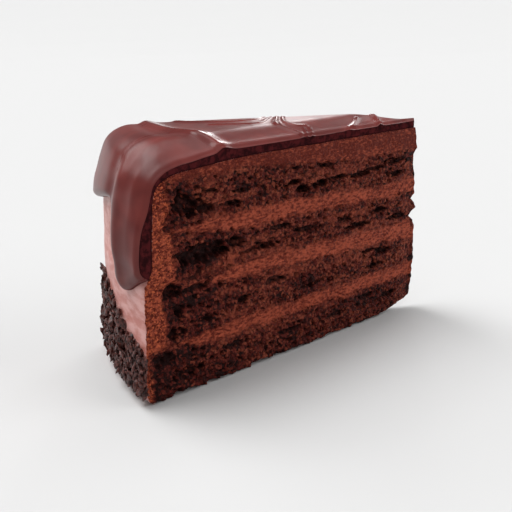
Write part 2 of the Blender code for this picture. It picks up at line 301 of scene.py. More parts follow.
@dataclass(frozen=True)
class CutFace:
    """The relief and the stains of the two cut faces, the same for every layer that meets there.

    The far face has the cavities turned round mirrored_at, half of it being their middle.
    """

    cavities: tuple = (
        Cavity(117, 66, 7.0, 4.6, 3.0), Cavity(109, 64, 4.0, 2.2, 2.2), Cavity(125, 59.3, 2.4, 1.2, 1.8),
        Cavity(110, 48.5, 13, 3.6, 3.0), Cavity(85, 45.2, 11, 1.7, 2.4), Cavity(97, 49.5, 5, 2.4, 2.4),
        Cavity(124, 38.2, 4.8, 3.2, 2.8), Cavity(114, 37.0, 6, 1.3, 1.6),
        Cavity(122, 22.5, 4.5, 2.2, 2.4), Cavity(120, 30.5, 4.0, 2.6, 1.8),
        Cavity(128, 14.5, 4.5, 2.6, 1.8), Cavity(118, 7.0, 8, 2.6, 1.6), Cavity(71, 66, 9, 1.2, 2.6),
        Cavity(64, 63.4, 4.5, 1.8, 2.8), Cavity(55, 63.6, 6, 1.5, 2.6), Cavity(46, 64.6, 7, 1.0, 2.2),
        Cavity(34, 63.9, 6, 1.3, 2.6), Cavity(24, 65.2, 6, 0.9, 2.0), Cavity(12, 66.6, 9, 1.3, 2.6),
        Cavity(12, 61.2, 6, 1.4, 2.0), Cavity(95, 67, 3.4, 1.0, 1.6), Cavity(99, 63.4, 5, 1.1, 1.8),
        Cavity(107, 69.4, 4, 1.0, 1.5), Cavity(53, 70.5, 4, 1.5, 1.8), Cavity(41, 47.5, 4.5, 1.8, 2.2),
        Cavity(33, 43.4, 8, 1.2, 2.0), Cavity(21, 47.2, 4.5, 1.3, 2.0), Cavity(11, 42.6, 7, 1.2, 2.2),
        Cavity(64, 47.6, 6, 1.2, 1.6), Cavity(76, 50.8, 5, 1.0, 1.6), Cavity(61, 24.6, 5, 0.9, 1.8),
        Cavity(48, 24.0, 4, 1.3, 1.6), Cavity(22, 24.0, 5, 1.5, 2.2), Cavity(18, 29.4, 4.5, 1.8, 2.2),
        Cavity(27, 31.2, 5, 0.9, 1.5), Cavity(78, 31.4, 6, 1.3, 1.6), Cavity(94, 27.4, 3, 1.4, 1.6),
        Cavity(110, 25.0, 4, 1.6, 1.8), Cavity(97, 11, 8, 1.4, 1.6), Cavity(70, 9, 7, 1.4, 1.5),
        Cavity(46, 8, 6, 1.6, 1.6), Cavity(28, 11.6, 5, 1.3, 1.6), Cavity(12, 9, 5, 1.8, 1.8),
    )
    mirrored_at: float = 124.0
    apart: float = 60.0

    def hollows(self, place: np.ndarray, side: Side) -> np.ndarray:
        """Reads the torn cavities. The far face has them mirrored from tip to rim.

        Args:
            place: rows of r, z and a third number that differs between the faces.
            side: which cut face.

        Returns:
            The depths in mm.
        """
        r, z = place[:, 0], place[:, 1]
        torn = 0.75 * grain(place, 3.0, (1.4, 1, 1), seed=11) + 0.75 * grain(place, 1.3, (1.2, 1, 1), seed=12)
        depth = np.zeros(len(r))
        for cavity in self.cavities:
            middle = cavity.r if side is Side.NEAR else self.mirrored_at - cavity.r
            across = (r - middle) / cavity.half_r
            up = (z - cavity.z) / cavity.half_z
            depth = np.maximum(depth, cavity.depth * smooth(1.3 * (1 - across**2 - up**2 + 1.1 * torn)))
        return depth

    def cream(self, r: np.ndarray, z: np.ndarray, side: Side) -> np.ndarray:
        """Tells cream from sponge.

        Args:
            r: distances from the axis.
            z: heights.
            side: which cut face.

        Returns:
            How far in mm each place lies inside a filling or the frosting, negative in the sponge.
        """
        joints = [np.interp(r, *np.array(rows).T) for rows in LAYERS.joints]
        inside = z - joints[6]
        for low, high in ((0, 1), (2, 3), (4, 5)):
            inside = np.maximum(inside, np.minimum(z - joints[low], joints[high] - z))
        return np.maximum(inside, r - np.interp(z, *np.array(LAYERS.rims[side.value]).T))

    def tone(self, place: np.ndarray) -> np.ndarray:
        """Shades the sponge: dark at the rim and in the lowest layer, lighter in smeared patches.

        Args:
            place: rows of r, z and a third number that differs between the faces.

        Returns:
            How light each place is, from about 0 to 1.
        """
        r, z = place[:, 0], place[:, 1]
        edge = np.interp(z, (0, 20, 42, 58, 60, 76), (118, 104, 100, 100, 110, 112))
        base = np.interp(z, (0, 14, 18, 36, 44, 58, 62, 76), (0.40, 0.44, 0.52, 0.52, 0.5, 0.54, 0.5, 0.56))
        patch = 0.34 * grain(place, 9, (2.2, 0.8, 1), seed=14)
        patch = patch + 0.3 * grain(place, 3.2, (1.6, 0.8, 1), seed=15)
        return base + patch - 0.26 * smooth((r - edge) / 6)

    def read(self, r: np.ndarray, z: np.ndarray, side: Side) -> dict[str, np.ndarray]:
        """Reads the relief and stains of a cut face.

        Args:
            r: distances from the axis.
            z: heights.
            side: which cut face.

        Returns:
            The depth in mm, and the shares of painted pit shade, cream, lightness and air bubbles.
        """
        place = np.stack([r, z, 0 * r + self.apart * side.value], -1)
        # How far the cream reaches: ragged at its edges, and dragged over the sponge as a thin film
        ragged = 1.5 * grain(place, 4.2, (2.2, 0.9, 1), seed=13)
        ragged = ragged + 1.3 * grain(place, 1.5, (1.5, 1, 1), seed=17)
        inside = self.cream(r, z, side)
        film = 0.55 * smooth(0.1 + 1.6 * grain(place, 7, (3.2, 0.7, 1), seed=18)) * smooth((118 - r) / 20)
        cream = np.maximum(smooth(0.5 + (inside + ragged) / 2.2), film * smooth((inside + 7) / 4))
        # The frosting's wall, which has few cavities
        wall = smooth((r - np.interp(z, (17, 20, 41, 43), (131, 126, 126, 122))) / 1.6)
        hollow = self.hollows(place, side) * (1 - 0.7 * wall)
        # The sponge: two sizes of pores and rough crags, flatter where it is smeared and light
        tone = self.tone(place)
        big = pores(place, 2.3, 0.5, (1.5, 1, 1), seed=1)
        small = pores(place, 1.15, 0.6, (1.3, 1, 1), seed=2)
        rough = crags(place, 2.0, (1.5, 1, 1), seed=3) - 0.6
        open_crumb = 1 - 0.55 * smooth((tone - 0.5) / 0.4)
        crumb_depth = hollow + open_crumb * (1.5 * big + 0.8 * small) + 1.2 * rough
        # Painted shade in the sponge: darker in its pores, its crags and the torn cavities
        crumb_pit_shade = open_crumb * (0.8 * big + 0.6 * small) + 0.85 * smooth(hollow / 1.1) + 0.6 * rough
        # The cream: small bubbles, marks along the knife's path and a fine grain, strongest in the wall
        bubbles = pores(place, 1.05, 0.6, seed=31)
        drag = grain(place, 2.6, (3.0, 0.6, 1), seed=21)
        fine = crags(place, 1.0, (1.3, 1, 1), seed=22) - 0.55
        air = np.clip(0.12 + 0.88 * wall, 0, 1)
        cream_depth = 0.25 * drag + mix(0.35, 0.7, air) * fine + mix(0.1, 0.8, air) * bubbles + 0.4 * hollow
        # Painted shade in the cream: darker in its bubbles, its grain and the cavities
        cream_pit_shade = mix(0.15, 0.75, air) * bubbles + 0.4 * np.clip(fine, 0, 1) + 0.5 * smooth(hollow / 1.2)
        # Both together, relief and painted pit shade, on a cut that is not quite flat
        depth = mix(crumb_depth, cream_depth, cream) + 0.5 * grain(place, 9, seed=4) + 0.15
        pit_shade = np.clip(mix(crumb_pit_shade, cream_pit_shade, cream), 0, 1)
        cream_tone = np.interp(z, (0, 66, 72, 80), (0.62, 0.62, 0.22, 0.16)) - 0.16 * wall
        tone = mix(tone, cream_tone + 0.22 * grain(place, 7, (1.6, 0.7, 1), seed=24), cream)
        return {"depth": depth, "pit_shade": pit_shade, "cream": cream, "tone": np.clip(tone, 0, 1), "air": air}


CUT = CutFace()


@dataclass(frozen=True)
class Coat:
    """The frosting's outer face as (r, z), from the tip over the top and down the rim to the base."""

    near: tuple = (
        (0, 79.0), (20, 79.0), (60, 78.8), (85, 78.6), (98, 78.2), (107, 77.6), (114, 77.0), (119, 76.7),
        (124, 75.6), (127.6, 73.4), (129.2, 70.3), (129.8, 66), (130.1, 60), (130.4, 52), (130.9, 47),
        (132.3, 43.8), (133.8, 40.8), (134.3, 34), (134.4, 24), (134.7, 15), (135.3, 8), (135.4, 4),
        (134.4, 1.2), (132.6, 0.1),
    )
    far: tuple = (
        (0, 79.4), (20, 80.4), (60, 80.8), (85, 80.9), (98, 80.9), (107, 80.8), (114, 80.4), (118, 79.6),
        (121.6, 77.6), (124.4, 74.2), (126.6, 70.2), (127.9, 66), (128.8, 60), (129.2, 52), (129.4, 47),
        (129.6, 43.8), (129.7, 40.8), (129.8, 34), (130, 24), (130.3, 15), (130.9, 8), (131, 4),
        (130.2, 1.2), (129, 0.1),
    )
    shoulder: float = 7.0
    last: float = 23.0
    rise_reach: float = 12.0
    unevenness: float = 0.35

    def read(self, at: np.ndarray, turn: np.ndarray) -> np.ndarray:
        """Rows of r and z on the coat.

        Args:
            at: how far along the section, as a row number of near and far.
            turn: from the near cut to the far one.

        Returns:
            One row of r and z for each place.
        """
        near, far = curve(self.near, at), curve(self.far, at)
        r = mix(near[:, 0], far[:, 0], turn)
        rise = smooth(turn * WEDGE.angle * r / self.rise_reach)
        down = smooth((at - self.shoulder) / 3)
        z = mix(near[:, 1], far[:, 1], mix(rise, turn, down))
        place = np.stack([r, turn * WEDGE.arc, z], -1)
        wall = smooth((at - self.shoulder - 2) / 2)
        r = r + wall * self.unevenness * grain(place, 14, (1, 1.8, 0.8), seed=41)
        return np.stack([r, z], -1)

    def outward(self, at: np.ndarray, turn: np.ndarray) -> np.ndarray:
        """Reads where the coat looks.

        Args:
            at: how far along the section, as a row number of near and far.
            turn: from the near cut to the far one.

        Returns:
            One row of r and z for each place, of length 1.
        """
        after, before = np.minimum(at + 0.05, self.last), np.maximum(at - 0.05, 0)
        step = self.read(after, turn) - self.read(before, turn)
        out = np.stack([-step[:, 1], step[:, 0]], -1)
        return out / np.linalg.norm(out, axis=1)[:, None]


COAT = Coat()


def block(columns: int, spans: int, rows: int) -> tuple[bmesh.types.BMesh, np.ndarray]:
    """A closed unit box of six welded grids.

    Args:
        columns: faces along X.
        spans: faces along Y.
        rows: faces along Z.

    Returns:
        The bmesh, and its points as rows of x, y and z from 0 to 1.
    """
    box = bmesh.new()
    half = math.pi / 2
    for turned, across, up, offset in (
        (Euler((0, 0, 0)), columns, spans, (0, 0, 0.5)),
        (Euler((half, 0, 0)), columns, rows, (0, 0.5, 0)),
        (Euler((0, -half, 0)), rows, spans, (0.5, 0, 0)),
    ):
        for sign in (-1, 1):
            place = Matrix.Translation(Vector(offset) * sign) @ turned.to_matrix().to_4x4()
            bmesh.ops.create_grid(box, x_segments=across, y_segments=up, size=0.5, matrix=place)
    bmesh.ops.remove_doubles(box, verts=box.verts, dist=0.1 / max(columns, spans, rows))
    bmesh.ops.translate(box, verts=box.verts, vec=(0.5, 0.5, 0.5))
    return box, np.array([v.co for v in box.verts])


def finish_mesh(name: str, shape: bmesh.types.BMesh, places: np.ndarray | None = None) -> Object:
    """Makes an object at the origin from a closed bmesh.

    Args:
        name: the piece's name.
        shape: the bmesh, which is freed.
        places: new places in mm for its points, or None where they are in mm already.

    Returns:
        The object, in metres, its faces pointing outwards.
    """
    if places is not None:
        for vert, co in zip(shape.verts, places.tolist()):
            vert.co = co
    bmesh.ops.scale(shape, verts=shape.verts, vec=(MM, MM, MM))
    bmesh.ops.recalc_face_normals(shape, faces=shape.faces)
    if shape.calc_volume(signed=True) < 0:
        bmesh.ops.reverse_faces(shape, faces=shape.faces)
    mesh = bpy.data.meshes.new(name)
    shape.to_mesh(mesh)
    shape.free()
    mesh.shade_smooth()
    piece = bpy.data.objects.new(name, mesh)
    bpy.context.scene.collection.objects.link(piece)
    return piece


def stain(piece: Object, name: str, values: np.ndarray) -> None:
    """Stores one value for each point of a piece, for its material to read.

    Args:
        piece: the object.
        name: the attribute's name.
        values: one value for each point.
    """
    layer = piece.data.attributes.new(name, "FLOAT", "POINT")
    layer.data.foreach_set("value", values.astype(np.float32))


def carve(
    places: np.ndarray, r: np.ndarray, turn: np.ndarray, z: np.ndarray, creamy: bool
) -> dict[str, np.ndarray]:
    """Cuts the relief of the knife's faces into those points of a piece that lie on them.

    Args:
        places: the points' places in mm, changed where they lie on a cut face.
        r: their distances from the axis.
        turn: their share of the way from the near cut to the far one.
        z: their heights.
        creamy: whether the points off the cut faces are cream, not sponge.

    Returns:
        The stains, one value for each point.
    """
    # Off the cut faces a little painted pit shade, 0.25, darkens every point
    stains = {"pit_shade": 0.25 + 0 * r, "cream": float(creamy) + 0 * r, "tone": 0.45 + 0 * r, "air": 0 * r}
    for side in Side:
        there = np.abs(turn - side.value) < AT_END
        read = CUT.read(r[there], z[there], side)
        depth = read.pop("depth") * mix(0.15, 1, smooth((r[there] + 1) / 12))
        places[there] -= depth[:, None] * WEDGE.outward(side)
        for name, values in read.items():
            stains[name][there] = values
    return stains


def dress(
    piece: Object, outside: Material, knife: Material, unit: np.ndarray, *cut: tuple[int, int]
) -> None:
    """Gives a piece made of a block one material outside and another on some of the block's sides.

    Args:
        piece: the object, all of whose faces have four corners.
        outside: material of the other faces.
        knife: material of the faces that the knife cut, or that lie against another layer.
        unit: the block's points, as block gives them.
        cut: the sides that get it, each as an axis of the block and its end, 0 or 1.
    """
    piece.data.materials.append(outside)
    piece.data.materials.append(knife)
    on_side = np.array([np.abs(unit[:, axis] - end) < AT_END for axis, end in cut])
    corners = np.zeros(len(piece.data.loops), int)
    piece.data.loops.foreach_get("vertex_index", corners)
    at_cut = on_side[:, corners.reshape(-1, 4)].all(2).any(0)
    piece.data.polygons.foreach_set("material_index", at_cut.astype(int))


def settle(piece: Object, slot: str, *nodes: str) -> None:
    """Lets a finished piece ride on the cake and stand for its CAD nodes.

    Args:
        piece: the object.
        slot: the record's material slot, not used.
        nodes: the CAD nodes that it replaces.
    """
    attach(piece, "root")
    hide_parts(*nodes)
    log.info("%s: %d faces", piece.name, len(piece.data.polygons))


# Finishes


def linear(colour: str) -> tuple[float, float, float, float]:
    """Turns an sRGB hex colour into a linear one.

    Args:
        colour: the colour, as #RRGGBB.

    Returns:
        Red, green and blue from 0 to 1, and an alpha of 1.
    """
    values = [int(colour[n : n + 2], 16) / 255 for n in (1, 3, 5)]
    return *(v / 12.92 if v <= 0.04045 else ((v + 0.055) / 1.055) ** 2.4 for v in values), 1.0


def add_node(tree: NodeTree, kind: str, settings: dict | None = None, **links: object) -> Node:
    """Adds a node to a material.

    Args:
        tree: the material's nodes.
        kind: the node's type, without the ShaderNode in front.
        settings: values for its properties, or for its sockets where the name starts with a capital
            or is a number.
        links: sockets, or nodes that stand for their first output, that its inputs are joined to, by
            name, with _ for a blank, or by number after an n.

    Returns:
        The new node.
    """
    node = tree.nodes.new("ShaderNode" + kind)
    for name, value in (settings or {}).items():
        if isinstance(name, int) or name[0].isupper():
            node.inputs[name].default_value = value
        else:
            setattr(node, name, value)
    for name, source in links.items():
        target = int(name[1:]) if name[0] == "n" and name[1:].isdigit() else name.replace("_", " ")
        tree.links.new(source.outputs[0] if isinstance(source, Node) else source, node.inputs[target])
    return node


# Settings that many nodes share
COLOURS = {"data_type": "RGBA"}
SOFT_STEP = {"interpolation_type": "SMOOTHSTEP"}
SCALED_SUM = {"operation": "MULTIPLY_ADD"}
NOISE = {"Roughness": 0.6}

# Refractive index of sugar, fat and cocoa
FOOD_IOR = 1.45


@dataclass(frozen=True)
class Finish:
    """What every surface of the cake shares: a name, a coordinate in mm and a shader."""

    name: str

    def start(self) -> tuple[Material, NodeTree, Node, Node]:
        """Makes an empty material.

        Returns:
            The material, its nodes, its shader and the node of the object's coordinates in mm.
        """
        material = bpy.data.materials.new(self.name)
        material.use_nodes = True
        tree = material.node_tree
        metres = add_node(tree, "TexCoord").outputs["Object"]
        place = add_node(tree, "Mapping", {"Scale": (1 / MM, 1 / MM, 1 / MM)}, Vector=metres)
        return material, tree, tree.nodes["Principled BSDF"], place


@dataclass(frozen=True)
class CutCake(Finish):
    """The knife's face: moist red-brown sponge whose pores are painted nearly black as shade, dragged
    milk-brown cream between.

    Sizes are in mm. The sponge's grains are 1.15 wide and the finest speckle that still shows is 0.55.
    """

    # deep is the darkest sponge, and also the painted shade in the gaps and pits
    deep: str = "#1C0605"
    crumb: str = "#541A14"
    lit: str = "#84402E"
    cream: str = "#A24C36"
    cream_shade: str = "#571B12"
    bright: str = "#B85A3A"
    grain: float = 1.15
    speckle: float = 0.55
    smear: float = 0.85
    foam: float = 0.8
    relief: float = 0.6

    def make(self) -> Material:
        """Makes the material, which reads the stains tone, cream, painted pit shade and air.

        Returns:
            The material.
        """
        material, tree, shader, place = self.start()
        tone, creamy, pit_shade, air = (
            add_node(tree, "Attribute", {"attribute_name": name}).outputs["Fac"]
            for name in ("tone", "cream", "pit_shade", "air")
        )
        # Sponge: grains from dark to lit, and painted shade in the gaps between them
        grains = add_node(tree, "TexVoronoi", {"Scale": 1 / self.grain}, Vector=place)
        fine = add_node(tree, "TexNoise", NOISE | {"Scale": 1 / self.speckle, "Detail": 3}, Vector=place)
        mixed = add_node(tree, "Mix", {0: 0.55}, n2=grains.outputs["Color"], n3=fine)
        toned = add_node(tree, "Math", SCALED_SUM | {1: 2.4}, n0=mixed, n2=tone)
        share = add_node(tree, "MapRange", SOFT_STEP | {"From Min": 1.1, "From Max": 1.6}, Value=toned)
        ends = {6: linear(self.deep), 7: linear(self.crumb)}
        crumb = add_node(tree, "Mix", COLOURS | ends, n0=share).outputs[2]
        share = add_node(tree, "MapRange", SOFT_STEP | {"From Min": 1.55, "From Max": 2.2}, Value=toned)
        crumb = add_node(tree, "Mix", COLOURS | {7: linear(self.lit)}, n0=share, n6=crumb).outputs[2]
        # Painted shade: nearly black along the gaps between the grains
        gap_shade = {"From Min": 0.45, "From Max": 0.9}
        share = add_node(tree, "MapRange", SOFT_STEP | gap_shade, Value=grains.outputs["Distance"])
        crumb = add_node(tree, "Mix", COLOURS | {7: linear(self.deep)}, n0=share, n6=crumb).outputs[2]
        # Cream: smears twice as long as they are high, and light froth where there is air in it
        dragged = add_node(tree, "Mapping", {"Scale": (0.5, 0.5, 1)}, Vector=place)
        lumps = add_node(tree, "TexNoise", NOISE | {"Scale": 1 / self.smear, "Detail": 4}, Vector=dragged)
        body = add_node(tree, "Math", SCALED_SUM | {1: 3.6}, n0=lumps, n2=tone)
        share = add_node(tree, "MapRange", SOFT_STEP | {"From Min": 1.85, "From Max": 2.95}, Value=body)
        ends = {6: linear(self.cream_shade), 7: linear(self.cream)}
        cream = add_node(tree, "Mix", COLOURS | ends, n0=share).outputs[2]
        froth = add_node(tree, "TexNoise", NOISE | {"Scale": 1 / self.foam, "Detail": 2}, Vector=place)
        share = add_node(tree, "MapRange", SOFT_STEP | {"From Min": 0.5, "From Max": 0.64}, Value=froth)
        light = add_node(tree, "Math", {"operation": "MULTIPLY"}, n0=share, n1=air)
        cream = add_node(tree, "Mix", COLOURS | {7: linear(self.bright)}, n0=light, n6=cream).outputs[2]
        # Both together, and painted shade, nearly black, in the pits
        colour = add_node(tree, "Mix", COLOURS, n0=creamy, n6=crumb, n7=cream).outputs[2]
        share = add_node(tree, "MapRange", SOFT_STEP | {"From Min": 0.05, "From Max": 1.0}, Value=pit_shade)
        colour = add_node(tree, "Mix", COLOURS | {7: linear(self.deep)}, n0=share, n6=colour).outputs[2]
        tree.links.new(colour, shader.inputs["Base Color"])
        shader.inputs["Roughness"].default_value = 0.55
        shader.inputs["IOR"].default_value = FOOD_IOR
        shader.inputs["Specular IOR Level"].default_value = 0.1
        bump = add_node(tree, "Bump", {"Distance": self.relief * MM, "Strength": 1.0}, Height=mixed)
        tree.links.new(bump.outputs[0], shader.inputs["Normal"])
        return material


@dataclass(frozen=True)
class ButtercreamSkin(Finish):
    """Chocolate buttercream smoothed with a spatula: satin, with faint strokes 3 mm wide, its own brown
    lightened and paled to pinkish brown as a painted sheen.
    """

    # body and light are the buttercream's own brown with a painted sheen: lighter and paler than its cut
    body: str = "#B67066"
    light: str = "#CE9993"
    stroke: float = 3.0
    relief: float = 0.25

    def make(self) -> Material:
        """Makes the material.

        Returns:
            The material.
        """
        material, tree, shader, place = self.start()
        drawn = add_node(tree, "Mapping", {"Scale": (0.4, 0.4, 1)}, Vector=place)
        swept = add_node(tree, "TexNoise", NOISE | {"Scale": 1 / self.stroke, "Detail": 4}, Vector=drawn)
        share = add_node(tree, "MapRange", SOFT_STEP | {"From Min": 0.35, "From Max": 0.65}, Value=swept)
        ends = {6: linear(self.body), 7: linear(self.light)}
        colour = add_node(tree, "Mix", COLOURS | ends, n0=share).outputs[2]
        tree.links.new(colour, shader.inputs["Base Color"])
        shader.inputs["Roughness"].default_value = 0.42
        shader.inputs["IOR"].default_value = FOOD_IOR
        bump = add_node(tree, "Bump", {"Distance": self.relief * MM, "Strength": 1.0}, Height=swept)
        tree.links.new(bump.outputs[0], shader.inputs["Normal"])
        return material


@dataclass(frozen=True)
class Ganache(Finish):
    """Poured chocolate glaze, set to a soft gloss with faint waves, and like glass along its folds."""

    body: str = "#6E3330"
    dark: str = "#5C2927"
    wave: float = 14.0
    relief: float = 0.1

    def make(self) -> Material:
        """Makes the material, which reads the stain fold.

        Returns:
            The material.
        """
        material, tree, shader, place = self.start()
        waves = add_node(tree, "TexNoise", NOISE | {"Scale": 1 / self.wave, "Detail": 2}, Vector=place)
        share = add_node(tree, "MapRange", SOFT_STEP | {"From Min": 0.35, "From Max": 0.65}, Value=waves)
        ends = {6: linear(self.body), 7: linear(self.dark)}
        colour = add_node(tree, "Mix", COLOURS | ends, n0=share).outputs[2]
        tree.links.new(colour, shader.inputs["Base Color"])
        fold = add_node(tree, "Attribute", {"attribute_name": "fold"}).outputs["Fac"]
        gloss = add_node(tree, "MapRange", {"To Min": 0.3, "To Max": 0.12}, Value=fold)
        tree.links.new(gloss.outputs[0], shader.inputs["Roughness"])
        shader.inputs["IOR"].default_value = FOOD_IOR
        shader.inputs["Specular IOR Level"].default_value = 0.17
        bump = add_node(tree, "Bump", {"Distance": self.relief * MM, "Strength": 1.0}, Height=waves)
        tree.links.new(bump.outputs[0], shader.inputs["Normal"])
        return material


@dataclass(frozen=True)
class GanacheCut(Finish):
    """The glaze where the knife went through: dark, dense and dull, with painted shade darkest along its
    edges.
    """

    body: str = "#4A1B1D"
    # dark is the glaze's darker smears, and also the painted shade along the cut's edges
    dark: str = "#260F11"
    smear: float = 2.0

    def make(self) -> Material:
        """Makes the material, which reads the stain edge, the share of painted shade along the cut's edges.

        Returns:
            The material.
        """
        material, tree, shader, place = self.start()
        smears = add_node(tree, "TexNoise", NOISE | {"Scale": 1 / self.smear, "Detail": 3}, Vector=place)
        share = add_node(tree, "MapRange", SOFT_STEP | {"From Min": 0.35, "From Max": 0.65}, Value=smears)
        ends = {6: linear(self.body), 7: linear(self.dark)}
        colour = add_node(tree, "Mix", COLOURS | ends, n0=share).outputs[2]
        # Painted shade: darker near the cut's inner and outer edge
        edge = add_node(tree, "Attribute", {"attribute_name": "edge"}).outputs["Fac"]
        colour = add_node(tree, "Mix", COLOURS | {7: linear(self.dark)}, n0=edge, n6=colour).outputs[2]
        tree.links.new(colour, shader.inputs["Base Color"])
        shader.inputs["Roughness"].default_value = 0.8
        shader.inputs["Specular IOR Level"].default_value = 0.0
        return material


@dataclass(frozen=True)
class ChocolateFlake(Finish):
    """Broken chocolate crumbs: dark, with small glossy faces that catch the light."""

    dark: str = "#220B0A"
    light: str = "#6A3E38"
    mottle: float = 1.2
    grit: float = 0.4
    relief: float = 0.1

    def make(self) -> Material:
        """Makes the material.

        Returns:
            The material.
        """
        material, tree, shader, place = self.start()
        mottle = add_node(tree, "TexNoise", NOISE | {"Scale": 1 / self.mottle, "Detail": 3}, Vector=place)
        share = add_node(tree, "MapRange", SOFT_STEP | {"From Min": 0.35, "From Max": 0.7}, Value=mottle)
        ends = {6: linear(self.dark), 7: linear(self.light)}
        colour = add_node(tree, "Mix", COLOURS | ends, n0=share).outputs[2]
        tree.links.new(colour, shader.inputs["Base Color"])
        shader.inputs["Roughness"].default_value = 0.4
        shader.inputs["IOR"].default_value = FOOD_IOR
        shader.inputs["Specular IOR Level"].default_value = 0.3
        grit = add_node(tree, "TexNoise", NOISE | {"Scale": 1 / self.grit, "Detail": 3}, Vector=place)
        bump = add_node(tree, "Bump", {"Distance": self.relief * MM, "Strength": 1.0}, Height=grit)
        tree.links.new(bump.outputs[0], shader.inputs["Normal"])
        return material


# Pieces


@dataclass
class Layer:
    """One sponge or filling: a block between two joints, torn on both cut faces.

    A layer whose low is -1 is the lowest, with base_teeth mm of ragged edge. Its points lie at
    turns, close to the cuts, where the relief fades into the smooth inside.
    """

    name: str
    node: str
    low: int
    high: int
    rows: int
    columns: int = 400
    base_teeth: float = 1.3
    tip_lift: float = 4.5
    thinnest: float = 0.02
    middle: float = 60.0
    turns: tuple = (0.0, 0.06, 0.94, 1.0)

    def base(self, r: np.ndarray, turn: np.ndarray) -> np.ndarray:
        """Reads the cake's underside: ragged at the cuts, lifted at the crumbled tip.

        Args:
            r: distances from the axis.
            turn: shares of the way from the near cut to the far one.

        Returns:
            The heights.
        """
        at_cut = smooth(np.abs(turn - 0.5) * 10 - 4)
        teeth = grain(np.stack([r, 50 * turn, 0 * r], -1), 4.5, seed=51)
        lift = self.tip_lift * np.clip(1 - r / 20, 0, 1) ** 1.5
        return at_cut * self.base_teeth * np.clip(0.45 + 1.1 * teeth, 0, 1.4) + lift

    def build(self, finish: Material, slot: str) -> Object:
        """Builds the layer.

        Args:
            finish: its material.
            slot: the record's material slot.

        Returns:
            The finished piece.
        """
        spans = len(self.turns) - 1
        box, unit = block(self.columns, spans, self.rows)
        across = np.array(self.turns)[np.rint(unit[:, 1] * spans).astype(int)]
        # The ends' radius depends on the height and the height on the radius, so a rough height comes first
        guess = mix(*(np.full(len(unit), z) for z in self.levels()), unit[:, 2])
        inner, outer = LAYERS.nose(guess), LAYERS.rim(guess, across)
        r = mix(inner, outer, unit[:, 0])
        low = self.base(r, across) if self.low < 0 else LAYERS.joint(self.low, r, across)
        high = LAYERS.joint(self.high, r, across)
        z = mix(low, np.maximum(high, low + self.thinnest), unit[:, 2])
        r = mix(LAYERS.nose(z), LAYERS.rim(z, across), unit[:, 0])
        places = WEDGE.place(r, across, z)
        stains = carve(places, r, across, z, self.node.startswith("filling"))
        piece = finish_mesh(self.name, box, places)
        for name, values in stains.items():
            stain(piece, name, values)
        piece.data.materials.append(finish)
        settle(piece, slot, self.node)
        return piece

    def levels(self) -> tuple[float, float]:
        """Rough heights of the layer's lower and upper face at mid-length."""
        low = 0.0 if self.low < 0 else float(np.interp(self.middle, *np.array(LAYERS.joints[self.low]).T))
        return low, float(np.interp(self.middle, *np.array(LAYERS.joints[self.high]).T))


@dataclass
class FrostingCoat:
    """The buttercream over the top and the rim: one wall between the sponge and the coat's outer face."""

    columns: int = 420
    spans: int = 72
    rows: int = 18
    corner: float = 9.0
    sponge_top: float = 74.0

    def inner(self, at: np.ndarray, turn: np.ndarray) -> np.ndarray:
        """Reads the sponge under the coat.

        Args:
            at: how far along the coat's section, as a row number of its outline.
            turn: from the near cut to the far one.

        Returns:
            One row of r and z for each place.
        """
        outer = COAT.read(at, turn)
        top_rim = LAYERS.rim(np.full(len(at), self.sponge_top), turn)
        on_top = np.minimum(outer[:, 0], top_rim)
        top = np.stack([on_top, LAYERS.joint(6, on_top, turn)], -1)
        z = np.minimum(outer[:, 1], LAYERS.joint(6, top_rim, turn))
        wall = np.stack([LAYERS.rim(z, turn), z], -1)
        return np.where((at < self.corner)[:, None], top, wall)

    def build(self, skin: Material, knife: Material) -> Object:
        """Builds the coat.

        Args:
            skin: the material of its smoothed outside.
            knife: the material of its cut.

        Returns:
            The finished piece.
        """
        box, unit = block(self.columns, self.spans, self.rows)
        spread = self.spread()
        at = np.interp(unit[:, 0], spread[0], spread[1])
        turn = unit[:, 1]
        inner, outer = self.inner(at, turn), COAT.read(at, turn)
        section = mix(inner, outer, unit[:, 2][:, None])
        r, z = section[:, 0], section[:, 1]
        r = np.where(at < 1, r + LAYERS.nose(z) * (1 - at), r)
        places = WEDGE.place(r, turn, z)
        stains = carve(places, r, turn, z, True)
        piece = finish_mesh("frosting_coat", box, places)
        for name, values in stains.items():
            stain(piece, name, values)
        dress(piece, skin, knife, unit, (1, 0), (1, 1), (0, 0), (2, 0))
        settle(piece, "frosting", "frosting")
        return piece

    def spread(self) -> tuple[np.ndarray, np.ndarray]:
        """Measures the coat's section.

        Returns:
            Shares of the section's length, and the row numbers of the outline that they belong to.
        """
        at = np.linspace(0, COAT.last, 400)
        points = curve(COAT.near, at)
        length = np.concatenate([[0], np.cumsum(np.linalg.norm(np.diff(points, axis=0), axis=1))])
        return length / length[-1], at


@dataclass(frozen=True)
class Ripple:
    """A raised fold in the glaze, along points of (r, mm from the near cut).

    The width holds on the rim's side of the fold, and tip_width on the tip's side where it differs.
    """

    path: tuple
    width: float
    height: float
    tip_width: float = 0.0


